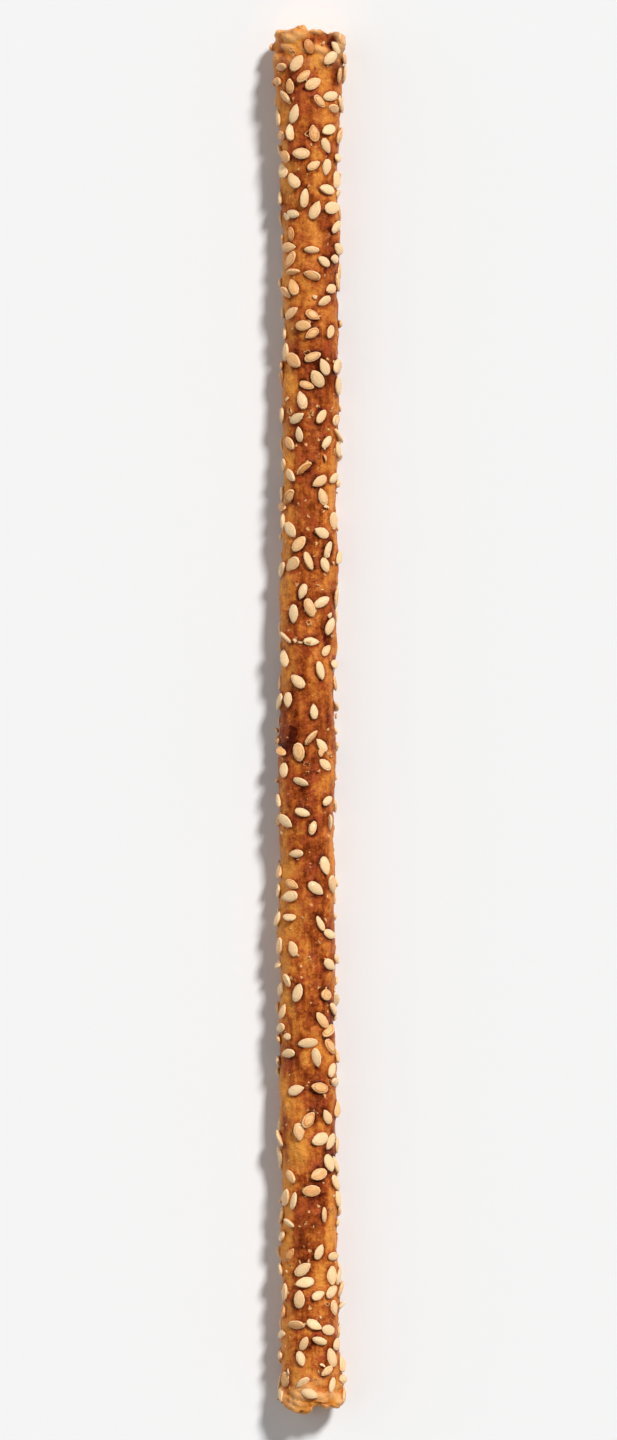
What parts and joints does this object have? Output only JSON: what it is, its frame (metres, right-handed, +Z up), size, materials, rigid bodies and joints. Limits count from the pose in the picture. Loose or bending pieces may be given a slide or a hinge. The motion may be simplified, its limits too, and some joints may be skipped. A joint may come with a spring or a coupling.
{
  "type": "grissini breadstick",
  "caption": "Long thin crisp breadstick with torn, slightly flared ends and a browned crust covered in toasted sesame seeds.",
  "frame": {"origin": "on the flat that the stick lies on, under the middle of its length", "axes": "+Y along the stick towards its wider torn end, +Z up from the resting flat"},
  "size_m": [0.0122, 0.2204, 0.0094],
  "materials": {
    "crust": "baked bread crust, golden to red-brown, slightly glossy",
    "sesame": "toasted sesame seed, ivory to tan, satin"
  },
  "bodies": {
    "root": {"breadstick": "crust"}
  },
  "joints": []
}
